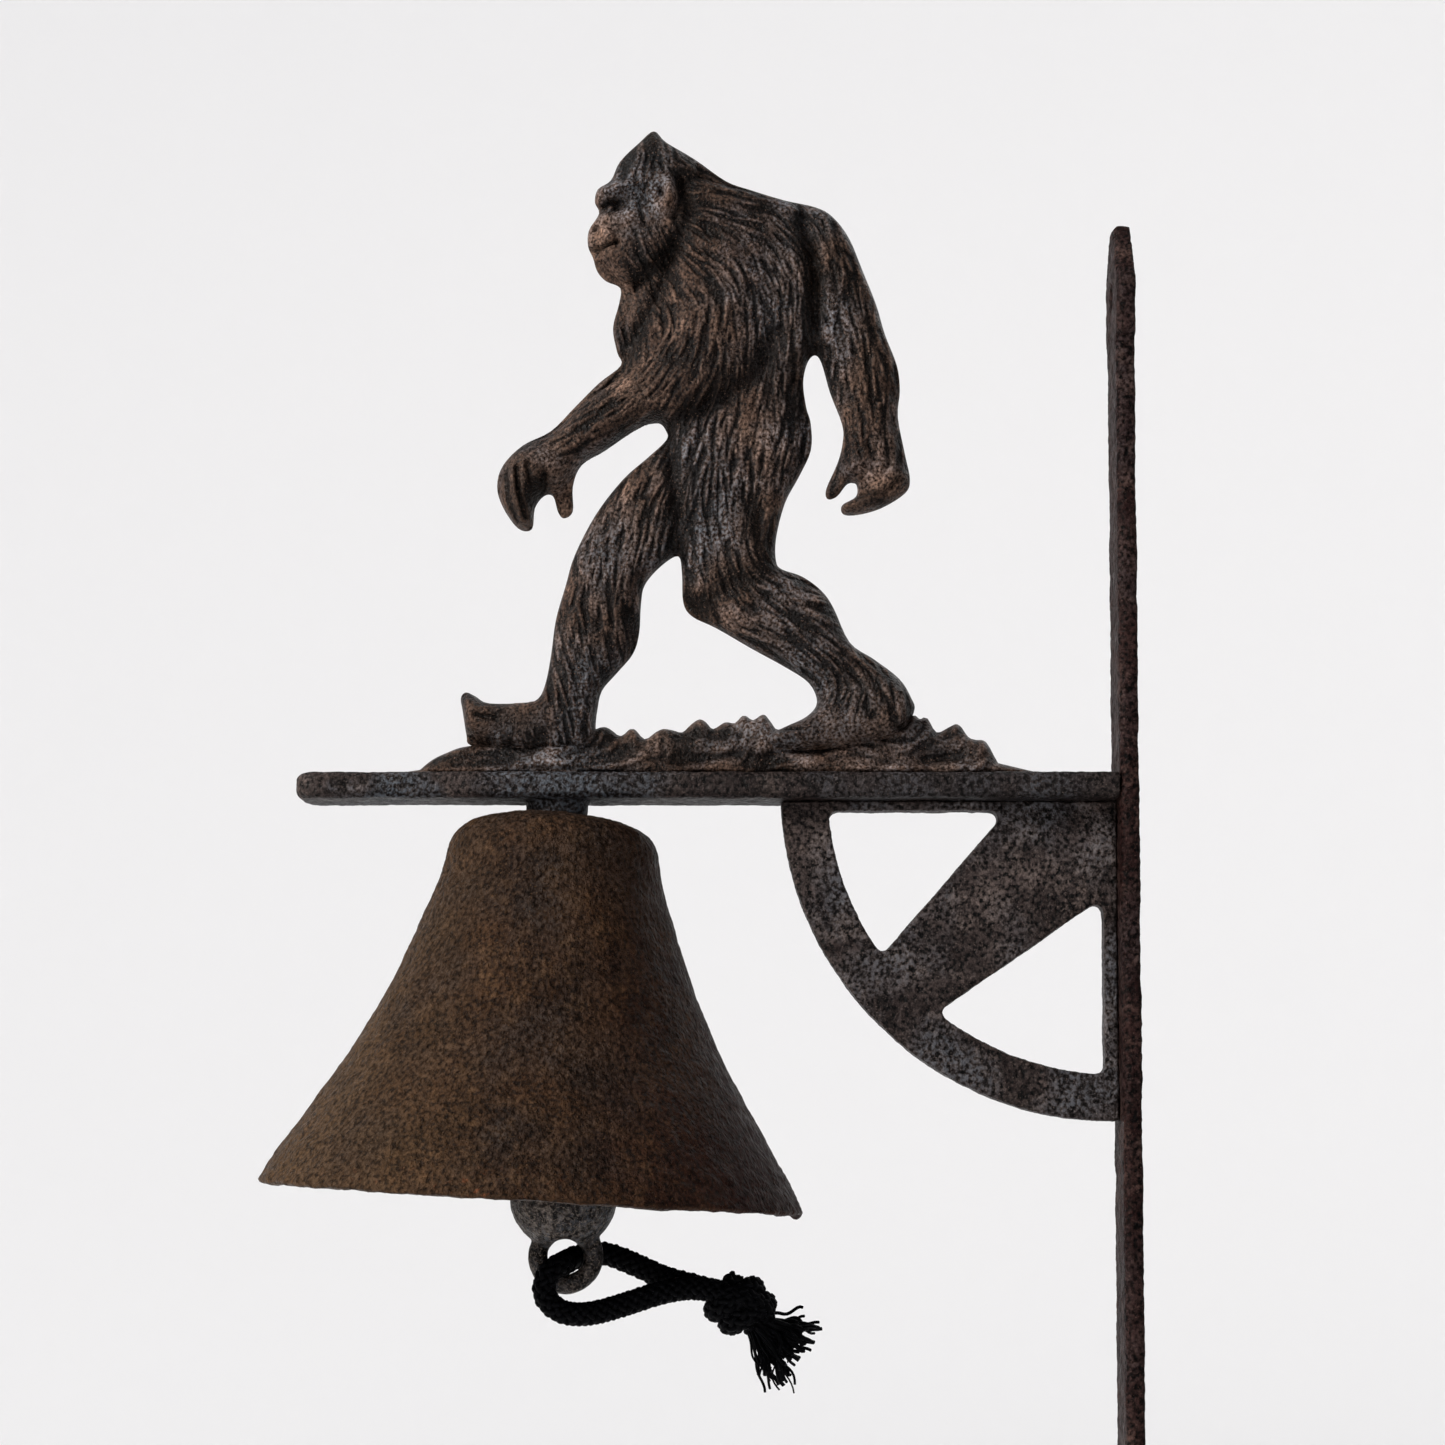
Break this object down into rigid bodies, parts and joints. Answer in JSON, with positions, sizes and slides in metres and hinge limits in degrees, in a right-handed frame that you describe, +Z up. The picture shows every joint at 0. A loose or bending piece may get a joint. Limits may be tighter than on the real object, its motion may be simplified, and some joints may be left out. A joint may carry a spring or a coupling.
{
  "type": "yard dinner bell",
  "caption": "Wall-mounted cast-iron dinner bell: bracket with a walking figure on its arm, flared bell, hanging clapper and knotted pull rope.",
  "frame": {"origin": "halfway between the two wall screw holes, on the back face of the wall bar", "axes": "+Z up along the wall bar, +X into the wall, the arm reaches out along -X"},
  "size_m": [0.2046, 0.1264, 0.3599],
  "materials": {
    "bracket_iron": "rust-brown powder patina over rough casting",
    "bell_iron": "rust-brown patina, pitted sand casting",
    "clapper_iron": "dull grey-brown iron",
    "screw_steel": "dull zinc, aged",
    "rope_black": "black braided cord"
  },
  "bodies": {
    "bracket": {"wall_bar": "bracket_iron", "arm": "bracket_iron", "brace": "bracket_iron", "ground_base": "bracket_iron", "walking_figure": "bracket_iron", "bell": "bell_iron", "lock_washer": "screw_steel", "lock_nut": "screw_steel", "eye_screw": "screw_steel"},
    "link": {"hanger_link": "screw_steel"},
    "clapper": {"clapper": "clapper_iron"},
    "rope": {"rope_front": "rope_black", "rope_back": "rope_black", "rope_knot": "rope_black", "frayed_ends": "rope_black"}
  },
  "joints": [
    {"name": "link_swing", "type": "hinge", "parent": "bracket", "child": "link", "pos_m": [-0.13738, 0, 0.00424], "axis": [0, 1, 0], "range_deg": [-14, 34]},
    {"name": "clapper_sway", "type": "hinge", "parent": "link", "child": "clapper", "pos_m": [-0.13671, 0, -0.00975], "axis": [1, 0, 0], "range_deg": [-10, 10]},
    {"name": "rope_drop", "type": "hinge", "parent": "clapper", "child": "rope", "pos_m": [-0.13353, 0, -0.07608], "axis": [0, 1, 0], "range_deg": [0, 45]}
  ]
}
